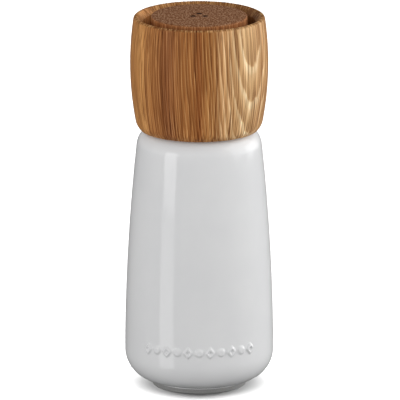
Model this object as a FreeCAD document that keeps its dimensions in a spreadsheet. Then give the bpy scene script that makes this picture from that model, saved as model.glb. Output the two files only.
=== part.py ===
import FreeCAD, Part
import math
import os

import Sketcher
from FreeCAD import Placement, Rotation, Vector

# A hand pepper mill: a glazed stoneware body on a small foot, a barrel-shaped oak head that is
# turned to grind, and an oak knob, sunk in the head's dished top, that sets the grind.
#
# The frame has +Z up along the mill's axis, and its origin is at the centre of the foot, on the
# table. Sizes are in millimetres.
#
# The head turns the square shaft through a steel drive plate. The inner burr hangs on the shaft's
# lower end, inside the fixed outer burr. The knob is a nut on the shaft's threaded top: tightening
# it draws the shaft and the inner burr up, against the spring, and the grind gets finer. Everything
# is drawn at the coarsest setting, with the shaft at its lowest.
#
# Threads are drawn as grooves round the axis, one for each pitch.

# alias: (size, what it is)
DIMS = {
    # stoneware body, outside
    "foot_radius": (20.5, "outer radius of the foot on the table"),
    "crease_radius": (20.2, "radius where the foot meets the underside"),
    "foot_height": (2.3, "height of the foot"),
    "foot_edge": (0.5, "radius of the foot's lower edge"),
    "knuckle_low_radius": (22.7, "radius where the lower knuckle starts"),
    "knuckle_low_z": (3.1, "height where the lower knuckle starts"),
    "knuckle_arc": (12.84, "radius of the lower knuckle"),
    "body_radius": (32.36, "widest radius of the body"),
    "body_widest_z": (15.6, "height of the widest point"),
    "flank_arc": (929.0, "radius of the long curve of the flank"),
    "shoulder_radius": (27.28, "radius where the shoulder starts"),
    "shoulder_z": (107.5, "height where the shoulder starts"),
    "shoulder_arc": (8.74, "radius of the shoulder"),
    "body_top_radius": (22.95, "radius of the flat top"),
    "body_top_z": (114.2, "height of the flat top"),
    # stoneware body, inside
    "collar_recess_radius": (21.6, "radius of the step that takes the neck collar"),
    "collar_seat_z": (113.0, "height of the neck collar's seat"),
    "mouth_radius": (18.6, "radius of the filling mouth"),
    "mouth_low_z": (105.5, "lower end of the mouth"),
    "neck_inner_radius": (22.8, "radius of the chamber below the neck"),
    "neck_inner_z": (101.5, "height where the chamber reaches that radius"),
    "chamber_arc": (925.0, "radius of the chamber wall's long curve"),
    "chamber_radius": (27.9, "widest radius of the chamber"),
    "chamber_widest_z": (18.0, "height where the chamber's lower corner starts"),
    "chamber_corner_arc": (8.8, "radius of the chamber's lower corner"),
    "floor_radius": (19.1, "radius of the flat chamber floor"),
    "floor_z": (9.2, "height of the chamber floor"),
    "bore_radius": (15.4, "radius of the bore through the floor"),
    "ledge_z": (5.2, "height of the ledge that the base gasket meets"),
    "recess_radius": (18.0, "radius of the recess inside the foot"),
    # neck collar
    "collar_flange_radius": (21.3, "radius of the collar's flange"),
    "collar_top_z": (114.3, "height of the face that the head runs on"),
    "collar_tube_radius": (18.45, "outer radius of the collar's tube"),
    "collar_bore": (16.95, "bore of the collar"),
    "collar_low_z": (102.5, "lower end of the collar"),
    "collar_edge": (0.3, "chamfer round the collar's flange"),
    "collar_lead": (0.5, "chamfer at the mouth of the collar's bore"),
    # grinder housing and what clamps it
    "flange_radius": (17.6, "radius of the housing's flange"),
    "flange_low_z": (1.8, "lower face of the flange"),
    "flange_top_z": (4.6, "upper face of the flange"),
    "tube_radius": (15.0, "outer radius of the housing's tube"),
    "housing_top_z": (26.0, "upper end of the housing"),
    "burr_pocket_radius": (13.3, "radius of the pocket for the outer burr"),
    "burr_pocket_z": (14.0, "upper end of that pocket"),
    "throat_radius": (12.2, "radius of the throat above the outer burr"),
    "funnel_z": (15.5, "height where the throat opens into the funnel"),
    "funnel_radius": (13.9, "radius of the funnel's mouth"),
    "coarse_thread_z": (12.2, "height of the first groove of the housing's thread"),
    "coarse_pitch": (1.5, "pitch of the housing's thread"),
    "coarse_thread_depth": (0.45, "depth of the housing's thread"),
    "coarse_flank_half": (0.6, "half width of its groove at the crest"),
    "coarse_root_half": (0.15, "half width of its groove at the root"),
    "seal_inner_radius": (15.1, "inner radius of both silicone washers"),
    "seal_outer_radius": (18.6, "outer radius of the floor seal"),
    "seal_top_z": (10.0, "upper face of the floor seal"),
    "nut_bore": (15.06, "bore of the housing nut"),
    "nut_radius": (18.5, "outer radius of the housing nut"),
    "nut_top_z": (15.2, "upper face of the housing nut"),
    "notch_root_radius": (17.3, "radius to the bottom of the nut's grip notches"),
    "notch_half_width": (1.3, "half width of a grip notch"),
    "notch_floor": (1.4, "thickness of the nut left under a grip notch"),
    # burrs
    "outer_burr_radius": (13.25, "outer radius of the outer burr"),
    "outer_mouth_radius": (11.2, "radius of the outer burr's lower edge"),
    "fine_zone_z": (7.0, "upper end of the fine teeth"),
    "outer_fine_radius": (9.6, "radius of the outer burr at the top of the fine teeth"),
    "outer_waist_z": (9.0, "height of the outer burr's narrowest point"),
    "outer_waist_radius": (9.25, "radius of the outer burr's narrowest point"),
    "outer_burr_top_z": (13.95, "upper face of the outer burr"),
    "outer_feed_radius": (11.9, "radius of the outer burr's upper edge"),
    "inner_burr_low_z": (2.4, "lower face of the inner burr"),
    "inner_mouth_radius": (10.35, "radius of the inner burr's lower edge"),
    "inner_fine_radius": (8.88, "radius of the inner burr at the top of the fine teeth"),
    "inner_waist_radius": (8.3, "radius of the inner burr at the outer burr's waist"),
    "inner_burr_top_z": (15.0, "upper face of the inner burr"),
    "inner_top_radius": (5.8, "radius of the inner burr's upper edge"),
    "burr_recess_radius": (7.5, "radius of the recess under the inner burr"),
    "burr_recess_z": (4.6, "depth line of that recess"),
    "fine_tooth_depth": (0.55, "depth of a fine tooth's groove"),
    "fine_tooth_half": (0.62, "half width of a fine tooth's groove"),
    "feed_groove_depth": (1.3, "depth of a feed groove"),
    "feed_groove_half": (1.7, "half width of a feed groove"),
    "fine_tooth_runout": (0.6, "how far the fine grooves run past the fine teeth"),
    "cutter_clear": (0.6, "how far a groove's cutter stands clear of the surface that it cuts"),
    "cutter_overrun": (0.15, "how far a groove's cutter runs past the end of the surface"),
    "core_half_flats": (4.0, "half the distance across the core's hexagon"),
    "core_clearance": (0.04, "clearance of the core in the burr, per side"),
    "core_flange_radius": (5.6, "radius of the core's flange"),
    "core_top_z": (16.2, "upper face of the core"),
    "burr_washer_radius": (6.8, "radius of the washer under the burr"),
    "burr_washer_low_z": (3.6, "lower face of that washer"),
    "washer_clearance": (0.1, "clearance of that washer round its screw"),
    # retaining plate
    "retainer_low_z": (1.0, "lower face of the retaining plate"),
    "retainer_bore": (11.5, "bore of the retaining plate"),
    "retainer_screw_circle": (15.4, "radius of the circle of the retaining screws"),
    # bridge, bush, spring
    "rim_inner_radius": (13.2, "inner radius of the bridge's rim"),
    "bridge_top_z": (28.4, "upper face of the bridge"),
    "hub_radius": (6.4, "radius of the bridge's hub"),
    "hub_low_z": (23.0, "lower face of the hub"),
    "arm_half_width": (1.6, "half width of a bridge arm"),
    "arm_root": (0.7, "how far a bridge arm reaches into the hub and the rim"),
    "bush_radius": (4.5, "outer radius of the shaft bush"),
    "bush_bore": (3.45, "bore of the shaft bush"),
    "bush_low_z": (23.6, "lower end of the shaft bush"),
    "bush_clearance": (0.02, "clearance of the shaft bush in the hub"),
    "bush_flange_radius": (5.6, "radius of the shaft bush's flange"),
    "bush_top_z": (29.2, "upper face of the shaft bush's flange"),
    "spring_radius": (5.0, "mean radius of the spring"),
    "spring_wire_radius": (0.45, "radius of the spring's wire"),
    "spring_low_z": (16.8, "lower end of the spring"),
    "spring_pitch": (1.325, "rise of the spring in one turn"),
    "spring_turns": (4.0, "turns of the spring"),
    "seat_radius": (5.9, "radius of the spring seat"),
    # shaft
    "shaft_half": (2.5, "half the width of the square shaft"),
    "shaft_corner": (0.35, "chamfer on the shaft's corners"),
    "square_hole_half": (2.58, "half the width of the square holes that the shaft fits"),
    "shaft_bore": (3.7, "clearance hole for the shaft"),
    "shaft_low_z": (4.6, "lower end of the shaft"),
    "shaft_square_top_z": (150.0, "upper end of the square"),
    "shaft_top_z": (161.6, "upper end of the thread"),
    "thread_radius": (2.5, "outer radius of the setting thread"),
    "thread_depth": (0.4, "depth of the setting thread"),
    "thread_pitch": (0.8, "pitch of the setting thread"),
    "thread_start": (1.2, "plain length below the setting thread"),
    "shaft_end_chamfer": (0.8, "chamfer on the shaft's upper end"),
    "tapped_radius": (1.53, "radius of the tapped hole in the shaft's end"),
    "tapped_depth": (9.0, "depth of that hole"),
    # oak head
    "head_low_z": (114.6, "underside of the head"),
    "head_low_radius": (25.75, "radius of the head's flat underside"),
    "head_low_arc": (7.42, "radius of the head's lower edge"),
    "head_flank_low_radius": (27.7, "radius where the barrel curve starts"),
    "head_flank_low_z": (118.2, "height where the barrel curve starts"),
    "head_barrel_arc": (140.0, "radius of the barrel curve"),
    "head_flank_top_radius": (28.7, "radius where the barrel curve ends"),
    "head_flank_top_z": (163.3, "height where the barrel curve ends"),
    "rim_outer_arc": (1.45, "radius of the rim's outer edge"),
    "rim_radius": (27.3, "radius of the rim's highest line"),
    "rim_z": (164.7, "height of the rim"),
    "rim_inner_arc": (0.8, "radius of the rim's inner edge"),
    "dish_start_radius": (26.7, "radius where the dished slope starts"),
    "dish_start_z": (164.4, "height where the dished slope starts"),
    "dish_radius": (24.6, "radius of the knob recess"),
    "dish_low_z": (161.9, "height where the slope meets the recess wall"),
    "recess_corner_z": (157.6, "height where the recess's corner starts"),
    "recess_corner_arc": (1.2, "radius of the recess's corner"),
    "recess_floor_radius": (23.4, "radius of the flat recess floor"),
    "recess_floor_z": (156.4, "floor of the knob recess"),
    "top_bush_radius": (5.5, "outer radius of the top bush"),
    "top_bush_low_z": (148.2, "lower end of the top bush"),
    "top_bush_flange_radius": (9.6, "radius of the top bush's flange"),
    "top_bush_top_z": (157.2, "upper face of the top bush"),
    "head_bore": (4.3, "radius of the shaft's hole through the oak"),
    "insert_pocket_z": (132.2, "upper end of the pocket for the insert"),
    "wood_clearance": (0.05, "clearance of a glued-in piece in the oak"),
    # head insert
    "insert_radius": (19.4, "outer radius of the insert in the oak"),
    "insert_top_z": (132.0, "upper end of the insert"),
    "insert_cup_radius": (16.8, "radius of the insert's upper hollow"),
    "insert_web_top_z": (128.0, "upper face of the insert's web"),
    "insert_web_low_z": (124.0, "lower face of the insert's web"),
    "spigot_radius": (16.7, "outer radius of the spigot"),
    "spigot_bore": (14.6, "bore of the spigot"),
    "spigot_low_z": (103.6, "lower end of the spigot"),
    "ring_groove_radius": (15.7, "radius of the O-ring's groove"),
    "ring_groove_low_z": (107.4, "lower side of that groove"),
    "ring_groove_top_z": (109.0, "upper side of that groove"),
    "o_ring_radius": (16.3, "mean radius of the O-ring"),
    "o_ring_section": (0.57, "radius of the O-ring's section"),
    "o_ring_z": (108.2, "height of the O-ring"),
    "glide_inner_radius": (17.35, "inner radius of the glide ring"),
    "glide_low_z": (114.36, "running face of the glide ring"),
    "glide_top_z": (115.4, "upper face of the glide ring"),
    "plate_radius": (13.6, "radius of the drive plate"),
    "plate_low_z": (122.4, "lower face of the drive plate"),
    "plate_screw_circle": (9.5, "radius of the circle of the plate's screws"),
    # knob
    "knob_radius": (20.96, "radius of the knob"),
    "knob_low_z": (158.6, "underside of the knob"),
    "knob_top_z": (165.0, "top of the knob"),
    "knob_low_arc": (2.2, "radius of the knob's lower edge"),
    "knob_top_arc": (0.9, "radius of the knob's upper edge"),
    "knob_nut_flange_radius": (9.0, "radius of the nut's flange"),
    "knob_nut_low_z": (157.95, "lower face of the nut"),
    "knob_nut_flange_z": (159.15, "upper face of the nut's flange"),
    "knob_nut_radius": (4.0, "outer radius of the nut"),
    "knob_nut_top_z": (163.5, "upper end of the nut"),
    "knob_nut_bore": (2.56, "bore of the nut over the thread"),
    "knob_pocket_z": (163.8, "upper end of the pocket for the nut"),
    "knob_screw_circle": (6.5, "radius of the circle of the nut's screws"),
    "friction_low_z": (157.25, "lower face of the friction washer"),
    # screws
    "small_head_radius": (1.9, "head radius of the small countersunk screws"),
    "small_head_height": (0.8, "head height of the small countersunk screws"),
    "small_shank_radius": (0.95, "shank radius of the small countersunk screws"),
    "small_screw_length": (3.4, "length of the small countersunk screws"),
    "small_screw_gap": (0.03, "clearance round the small screws"),
    "plate_head_radius": (2.4, "head radius of the drive plate's screws"),
    "plate_head_height": (1.5, "head height of the drive plate's screws"),
    "plate_shank_radius": (1.25, "shank radius of the drive plate's screws"),
    "plate_screw_length": (6.2, "length of the drive plate's screws with their heads"),
    "burr_head_radius": (2.8, "head radius of the burr screw"),
    "burr_screw_low_z": (1.9, "lower face of the burr screw's head"),
    "burr_shank_radius": (1.5, "shank radius of the burr screw"),
    "burr_shank_top_z": (12.6, "upper end of the burr screw"),
    "socket_depth": (0.9, "depth of the burr screw's socket"),
    "socket_half_flats": (1.0, "half the distance across the burr screw's socket"),
    "lead_in": (0.6, "chamfer on the spigot, the bridge and the housing nut"),
    "screw_edge": (0.5, "chamfer on the burr screw's head"),
    "screw_tip": (0.35, "chamfer at a screw's tip"),
    "slot_depth": (0.35, "depth of a screw's slot"),
    "slot_half_width": (0.25, "half width of a screw's slot"),
}
FINE_TEETH = 36
FINE_TOOTH_TWIST = 9.0  # degrees that a fine tooth leans round the axis
INNER_FEED_GROOVES = 7
OUTER_FEED_GROOVES = 9
FEED_GROOVE_TWIST = 28.0
NUT_NOTCHES = 12
HOUSING_THREADS = 4
SHAFT_THREADS = 12
SCREWS_IN_GROUP = 3
BRIDGE_ARMS = 3
# a screw's head, as corners (radius, height above its lower face), ending at the shank
COUNTERSUNK = [("small_head_radius", "0"), ("small_shank_radius", "small_head_height")]
CHEESE_HEAD = [("plate_head_radius", "0"), ("plate_head_radius", "plate_head_height"),
               ("plate_shank_radius", "plate_head_height")]

doc = FreeCAD.newDocument("pepper_mill")
sheet = doc.addObject("Spreadsheet::Sheet", "dims")
bodies = []  # one for each sub-part; its label is the node's name


def fill_sheet():
    """Puts the driving dimensions in the spreadsheet, one row each."""
    for row, (alias, (size, meaning)) in enumerate(DIMS.items(), start=1):
        sheet.set(f"A{row}", meaning)
        sheet.set(f"B{row}", str(size))
        sheet.setAlias(f"B{row}", alias)
    doc.recompute()


# A size is written as a sum of aliases and numbers, such as "floor_z + 2*coarse_pitch - 0.5".


def terms(text):
    """The signed factors and the alias, or None, of each term of such a sum."""
    sign = 1.0
    for word in text.split():
        if word in ("+", "-"):
            sign = 1.0 if word == "+" else -1.0
            continue
        *factors, last = word.split("*")
        if last in DIMS:
            yield sign * math.prod(map(float, factors)), last
        else:
            yield sign * float(word), None
        sign = 1.0


def value(text):
    return sum(factor * (sheet.get(alias) if alias else 1.0) for factor, alias in terms(text))


def bound(text):
    """The same sum as an expression on the spreadsheet's cells."""
    return " + ".join(f"({factor:.10g}) * dims.{alias}" if alias else f"({factor:.10g})"
                      for factor, alias in terms(text))


def new_body(name):
    body = doc.addObject("PartDesign::Body", name)
    body.Label = name
    bodies.append(body)
    return body


def origin_part(body, role):
    return next(o for o in body.Origin.OriginFeatures if o.Role == role)


def new_sketch(body, plane, name, height=None, turn=0.0):
    """A sketch on one of the body's origin planes, raised along it and turned about its normal."""
    sketch = body.newObject("Sketcher::SketchObject", name)
    sketch.AttachmentSupport = [(origin_part(body, plane), "")]
    sketch.MapMode = "FlatFace"
    sketch.AttachmentOffset = Placement(Vector(0, 0, 0), Rotation(Vector(0, 0, 1), turn))
    if height:
        sketch.setExpression("AttachmentOffset.Base.z", bound(height))
    return sketch


def add_size(sketch, kind, *where, text):
    """A dimension of the sketch that follows the spreadsheet."""
    index = sketch.addConstraint(Sketcher.Constraint(kind, *where, value(text)))
    sketch.setExpression(f"Constraints[{index}]", bound(text))


def fix_point(sketch, edge, end, x, y):
    """Ties a point of the sketch to its coordinates, or to an axis where one is zero."""
    origin = (-1, 1)
    if value(x) == 0:
        sketch.addConstraint(Sketcher.Constraint("PointOnObject", edge, end, -2))
    else:
        add_size(sketch, "DistanceX", *origin, edge, end, text=x)
    if value(y) == 0:
        sketch.addConstraint(Sketcher.Constraint("PointOnObject", edge, end, -1))
    else:
        add_size(sketch, "DistanceY", *origin, edge, end, text=y)


def arc_between(start, end, radius, on_left):
    """The short arc from start to end. Its centre is on the left or the right of that way."""
    chord = end - start
    middle = (start + end) * 0.5
    rise = math.sqrt(max(radius * radius - chord.Length ** 2 / 4, 0.0))
    left = Vector(-chord.y, chord.x, 0).normalize()
    centre = middle + left * (rise if on_left else -rise)
    first, last = (start, end) if on_left else (end, start)
    angles = [math.atan2(p.y - centre.y, p.x - centre.x) for p in (first, last)]
    return Part.ArcOfCircle(Part.Circle(centre, Vector(0, 0, 1), radius), *angles)


def draw(sketch, outline):
    """Draws a closed outline, anticlockwise round the material. A corner is (x, y), or (x, y, arc)
    where the edge that leaves it is an arc: "+radius" bulges outwards and "-radius" inwards."""
    corners = [Vector(value(c[0]), value(c[1]), 0) for c in outline]
    ends = []  # for each edge, (its number, the point number it starts at, the one it ends at)
    for i, corner in enumerate(outline):
        start, end = corners[i], corners[(i + 1) % len(corners)]
        if len(corner) == 2:
            edge = sketch.addGeometry(Part.LineSegment(start, end), False)
            ends.append((edge, 1, 2))
        else:
            outwards = corner[2][0] == "+"
            arc = arc_between(start, end, value(corner[2][1:]), outwards)
            edge = sketch.addGeometry(arc, False)
            ends.append((edge, 1, 2) if outwards else (edge, 2, 1))
    for i, corner in enumerate(outline):
        edge, start, _ = ends[i]
        before, _, stop = ends[i - 1]
        sketch.addConstraint(Sketcher.Constraint("Coincident", before, stop, edge, start))
        fix_point(sketch, edge, start, corner[0], corner[1])
        if len(corner) == 3:
            add_size(sketch, "Radius", edge, text=corner[2][1:])


def draw_circle(sketch, x, y, radius):
    centre = Vector(value(x), value(y), 0)
    circle = sketch.addGeometry(Part.Circle(centre, Vector(0, 0, 1), value(radius)), False)
    fix_point(sketch, circle, 3, x, y)
    add_size(sketch, "Radius", circle, text=radius)


def revolve(name, outline):
    """A new body, turned from an outline of (radius, height) corners."""
    body = new_body(name)
    add_revolution(body, outline, "section")
    return body


def add_revolution(body, outline, name):
    sketch = new_sketch(body, "XZ_Plane", f"{body.Name}_{name}")
    draw(sketch, outline)
    turned = body.newObject("PartDesign::Revolution", f"{body.Name}_{name}_turned")
    turned.Profile = sketch
    turned.ReferenceAxis = (sketch, ["V_Axis"])
    turned.Angle = 360


def ring(name, inner, outer, low, top):
    """A plain ring or washer."""
    return revolve(name, [(inner, low), (outer, low), (outer, top), (inner, top)])


def pad(body, name, outline, low, height):
    sketch = new_sketch(body, "XY_Plane", f"{body.Name}_{name}", low)
    draw(sketch, outline)
    padded = body.newObject("PartDesign::Pad", f"{body.Name}_{name}_pad")
    padded.Profile = sketch
    padded.setExpression("Length", bound(height))
    return padded


def cut(body, sketch, depth=None):
    """Cuts a sketch down into the body, right through if no depth is given, and checks that
    something was cut."""
    doc.recompute()
    before = body.Shape.Volume
    pocket = body.newObject("PartDesign::Pocket", f"{sketch.Name}_cut")
    pocket.Profile = sketch
    if depth:
        pocket.setExpression("Length", bound(depth))
    else:
        pocket.Type = "ThroughAll"
    doc.recompute()
    if not body.Shape.Volume < before:
        raise RuntimeError(f"{pocket.Name} cut nothing")
    return pocket


def polar(body, features, count):
    """Repeats features of the body evenly round its axis."""
    pattern = body.newObject("PartDesign::PolarPattern", f"{features[-1].Name}_round")
    pattern.Originals = features
    pattern.Axis = (origin_part(body, "Z_Axis"), [""])
    pattern.Angle = 360
    pattern.Occurrences = count
    body.Tip = pattern


def hexagon(*sizes):
    """The corners of a hexagon, across whose flats is twice the sum of the sizes."""
    def scaled(ratio):
        if abs(ratio) < 1e-9:
            return "0"
        return " + ".join(f"{ratio / math.cos(math.radians(30)):.9f}*{size}" for size in sizes)

    angles = [math.radians(60 * i) for i in range(6)]
    return [(scaled(math.cos(angle)), scaled(math.sin(angle))) for angle in angles]


def square(half, corner):
    """The corners of a square with its corners cut off."""
    long, short = half, f"{half} - {corner}"
    minus_long, minus_short = f"-1*{half}", f"-1*{half} + {corner}"
    return [(long, minus_short), (long, short), (short, long), (minus_short, long),
            (minus_long, short), (minus_long, minus_short), (minus_short, minus_long),
            (short, minus_long)]


def cut_grooves(body, name, low, top, twist, count):
    """Cuts V-shaped grooves that lean round the axis. low and top are each a section of the groove:
    (height, radius at its root, radius at its open side, its half width there)."""
    sketches = []
    for label, (height, root, opening, half), turn in (("low", low, 0.0), ("top", top, twist)):
        sketch = new_sketch(body, "XY_Plane", f"{body.Name}_{name}_{label}", height, turn)
        corners = [(root, "0"), (opening, half), (opening, f"-1*{half}")]
        draw(sketch, corners if value(root) > value(opening) else corners[::-1])
        sketches.append(sketch)
    doc.recompute()
    before = body.Shape.Volume
    groove = body.newObject("PartDesign::SubtractiveLoft", f"{body.Name}_{name}")
    groove.Profile = sketches[0]
    groove.Sections = [sketches[1]]
    groove.Ruled = True
    polar(body, [groove], count)
    doc.recompute()
    if not body.Shape.Volume < before:
        raise RuntimeError(f"{groove.Name} cut nothing")


def screw_group(name, circle, low, head, shank, length):
    """Slotted screws that point up, set evenly on a circle, as one node of separate solids."""
    body = new_body(name)
    outline = [(circle, low)]
    outline += [(f"{circle} + {radius}", f"{low} + {height}") for radius, height in head]
    outline += [(f"{circle} + {shank}", f"{low} + {length} - screw_tip"),
                (f"{circle} + {shank} - screw_tip", f"{low} + {length}"),
                (circle, f"{low} + {length}")]
    sketch = new_sketch(body, "XZ_Plane", f"{name}_section")
    draw(sketch, outline)
    turned = body.newObject("PartDesign::Revolution", f"{name}_turned")
    turned.Profile = sketch
    turned.ReferenceAxis = (sketch, [f"Edge{len(outline)}"])
    turned.Angle = 360
    slot = new_sketch(body, "XY_Plane", f"{name}_slot", f"{low} + slot_depth")
    head_radius = head[0][0]
    draw(slot, [(f"{circle} - {head_radius}", "-1*slot_half_width"),
                (f"{circle} + {head_radius}", "-1*slot_half_width"),
                (f"{circle} + {head_radius}", "slot_half_width"),
                (f"{circle} - {head_radius}", "slot_half_width")])
    polar(body, [turned, cut(body, slot)], SCREWS_IN_GROUP)


def screw_holes(body, circle, radius, top):
    """Three holes on a circle, cut down from top right through."""
    sketch = new_sketch(body, "XY_Plane", f"{body.Name}_screw_hole", top)
    draw_circle(sketch, circle, "0", radius)
    polar(body, [cut(body, sketch)], SCREWS_IN_GROUP)


def countersinks(body, circle, low):
    """Three countersinks that open downwards at low, for the small screws."""
    sketch = new_sketch(body, "XZ_Plane", f"{body.Name}_countersink")
    wide, narrow = "small_head_radius + small_screw_gap", "small_shank_radius + small_screw_gap"
    draw(sketch, [(circle, low), (f"{circle} + {wide}", low),
                  (f"{circle} + {narrow}", f"{low} + small_head_height"),
                  (circle, f"{low} + small_head_height")])
    doc.recompute()
    before = body.Shape.Volume
    sink = body.newObject("PartDesign::Groove", f"{body.Name}_countersink_cut")
    sink.Profile = sketch
    sink.ReferenceAxis = (sketch, ["Edge4"])
    sink.Angle = 360
    polar(body, [sink], SCREWS_IN_GROUP)
    doc.recompute()
    if not body.Shape.Volume < before:
        raise RuntimeError(f"{sink.Name} cut nothing")


def make_stoneware_body():
    revolve("stoneware_body", [
        ("recess_radius", "0"),
        ("foot_radius - foot_edge", "0", "+foot_edge"),
        ("foot_radius", "foot_edge"),
        ("crease_radius", "foot_height"),
        ("knuckle_low_radius", "knuckle_low_z", "+knuckle_arc"),
        ("body_radius", "body_widest_z", "+flank_arc"),
        ("shoulder_radius", "shoulder_z", "+shoulder_arc"),
        ("body_top_radius", "body_top_z"),
        ("collar_recess_radius", "body_top_z"),
        ("collar_recess_radius", "collar_seat_z"),
        ("mouth_radius", "collar_seat_z"),
        ("mouth_radius", "mouth_low_z"),
        ("neck_inner_radius", "neck_inner_z", "-chamber_arc"),
        ("chamber_radius", "chamber_widest_z", "-chamber_corner_arc"),
        ("floor_radius", "floor_z"),
        ("bore_radius", "floor_z"),
        ("bore_radius", "ledge_z"),
        ("recess_radius", "ledge_z"),
    ])


def make_neck_collar():
    revolve("neck_collar", [
        ("collar_bore", "collar_low_z"),
        ("collar_tube_radius", "collar_low_z"),
        ("collar_tube_radius", "collar_seat_z"),
        ("collar_flange_radius", "collar_seat_z"),
        ("collar_flange_radius", "collar_top_z - collar_edge"),
        ("collar_flange_radius - collar_edge", "collar_top_z"),
        ("collar_bore + collar_lead", "collar_top_z"),
        ("collar_bore", "collar_top_z - collar_lead"),
    ])


def make_grinder_housing():
    thread = []
    for i in range(HOUSING_THREADS):
        groove = f"coarse_thread_z + {i}*coarse_pitch"
        thread += [("tube_radius", f"{groove} - coarse_flank_half"),
                   ("tube_radius - coarse_thread_depth", f"{groove} - coarse_root_half"),
                   ("tube_radius - coarse_thread_depth", f"{groove} + coarse_root_half"),
                   ("tube_radius", f"{groove} + coarse_flank_half")]
    body = revolve("grinder_housing", [
        ("burr_pocket_radius", "flange_low_z"),
        ("flange_radius", "flange_low_z"),
        ("flange_radius", "flange_top_z"),
        ("tube_radius", "flange_top_z"),
        *thread,
        ("tube_radius", "housing_top_z"),
        ("funnel_radius", "housing_top_z"),
        ("throat_radius", "funnel_z"),
        ("throat_radius", "burr_pocket_z"),
        ("burr_pocket_radius", "burr_pocket_z"),
    ])
    screw_holes(body, "retainer_screw_circle", "small_shank_radius + small_screw_gap",
                "retainer_low_z + small_screw_length")


def make_seals_and_nut():
    ring("base_gasket", "seal_inner_radius", "flange_radius", "flange_top_z", "ledge_z")
    ring("floor_seal", "seal_inner_radius", "seal_outer_radius", "floor_z", "seal_top_z")
    body = revolve("housing_nut", [
        ("nut_bore", "seal_top_z"),
        ("nut_radius", "seal_top_z"),
        ("nut_radius", "nut_top_z - lead_in"),
        ("nut_radius - lead_in", "nut_top_z"),
        ("nut_bore", "nut_top_z"),
    ])
    sketch = new_sketch(body, "XY_Plane", "housing_nut_notch", "nut_top_z")
    draw(sketch, [("notch_root_radius", "-1*notch_half_width"),
                  ("nut_radius + cutter_clear", "-1*notch_half_width"),
                  ("nut_radius + cutter_clear", "notch_half_width"),
                  ("notch_root_radius", "notch_half_width")])
    polar(body, [cut(body, sketch, "nut_top_z - seal_top_z - notch_floor")], NUT_NOTCHES)


def make_outer_burr():
    body = revolve("outer_burr", [
        ("outer_mouth_radius", "flange_low_z"),
        ("outer_burr_radius", "flange_low_z"),
        ("outer_burr_radius", "outer_burr_top_z"),
        ("outer_feed_radius", "outer_burr_top_z"),
        ("outer_waist_radius", "outer_waist_z"),
        ("outer_fine_radius", "fine_zone_z"),
    ])
    deep, clear = "fine_tooth_depth", "cutter_clear"
    cut_grooves(body, "fine_groove",
                ("flange_low_z - cutter_overrun", f"outer_mouth_radius + {deep}",
                 f"outer_mouth_radius - {clear}", "fine_tooth_half"),
                ("fine_zone_z + fine_tooth_runout", f"outer_fine_radius + 0.5*{deep}",
                 f"outer_fine_radius - {clear}", "0.8*fine_tooth_half"),
                FINE_TOOTH_TWIST, FINE_TEETH)
    cut_grooves(body, "feed_groove",
                ("fine_zone_z", "outer_fine_radius - cutter_overrun",
                 f"outer_fine_radius - {clear}", "0.5*feed_groove_half"),
                ("outer_burr_top_z + cutter_overrun", "outer_feed_radius + 0.5*feed_groove_depth",
                 f"outer_feed_radius - {clear}", "feed_groove_half"),
                FEED_GROOVE_TWIST, OUTER_FEED_GROOVES)


def make_inner_burr():
    body = revolve("inner_burr", [
        ("0", "burr_recess_z"),
        ("burr_recess_radius", "burr_recess_z"),
        ("burr_recess_radius", "inner_burr_low_z"),
        ("inner_mouth_radius", "inner_burr_low_z"),
        ("inner_fine_radius", "fine_zone_z"),
        ("inner_waist_radius", "outer_waist_z"),
        ("inner_top_radius", "inner_burr_top_z"),
        ("0", "inner_burr_top_z"),
    ])
    hole = new_sketch(body, "XY_Plane", "inner_burr_hole", "inner_burr_top_z")
    draw(hole, hexagon("core_half_flats", "core_clearance"))
    cut(body, hole)
    deep, clear = "fine_tooth_depth", "cutter_clear"
    cut_grooves(body, "fine_groove",
                ("inner_burr_low_z - cutter_overrun", f"inner_mouth_radius - {deep}",
                 f"inner_mouth_radius + {clear}", "fine_tooth_half"),
                ("fine_zone_z + fine_tooth_runout", f"inner_fine_radius - 0.8*{deep}",
                 f"inner_fine_radius + {clear}", "0.8*fine_tooth_half"),
                -FINE_TOOTH_TWIST, FINE_TEETH)
    cut_grooves(body, "feed_groove",
                ("fine_zone_z - fine_tooth_runout", "inner_fine_radius + cutter_overrun",
                 f"inner_fine_radius + {clear}", "0.5*feed_groove_half"),
                ("inner_burr_top_z + cutter_overrun", "inner_top_radius - 0.4*feed_groove_depth",
                 f"inner_top_radius + 3*{clear}", "feed_groove_half"),
                -FEED_GROOVE_TWIST, INNER_FEED_GROOVES)


def make_burr_core():
    body = new_body("burr_core")
    pad(body, "hexagon", hexagon("core_half_flats"), "burr_recess_z",
        "inner_burr_top_z - burr_recess_z")
    add_revolution(body, [("0", "inner_burr_top_z"), ("core_flange_radius", "inner_burr_top_z"),
                          ("core_flange_radius", "core_top_z"), ("0", "core_top_z")], "flange")
    hole = new_sketch(body, "XY_Plane", "burr_core_hole", "core_top_z")
    draw(hole, square("square_hole_half", "shaft_corner"))
    cut(body, hole)


def make_burr_screw():
    body = revolve("burr_screw", [
        ("0", "burr_screw_low_z"),
        ("burr_head_radius - screw_edge", "burr_screw_low_z"),
        ("burr_head_radius", "burr_screw_low_z + screw_edge"),
        ("burr_head_radius", "burr_washer_low_z"),
        ("burr_shank_radius", "burr_washer_low_z"),
        ("burr_shank_radius", "burr_shank_top_z - screw_tip"),
        ("burr_shank_radius - screw_tip", "burr_shank_top_z"),
        ("0", "burr_shank_top_z"),
    ])
    socket = new_sketch(body, "XY_Plane", "burr_screw_socket", "burr_screw_low_z + socket_depth")
    draw(socket, hexagon("socket_half_flats"))
    cut(body, socket)


def make_retainer():
    body = ring("burr_retainer", "retainer_bore", "flange_radius", "retainer_low_z", "flange_low_z")
    countersinks(body, "retainer_screw_circle", "retainer_low_z")
    screw_group("retainer_screws", "retainer_screw_circle", "retainer_low_z",
                COUNTERSUNK, "small_shank_radius", "small_screw_length")


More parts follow.
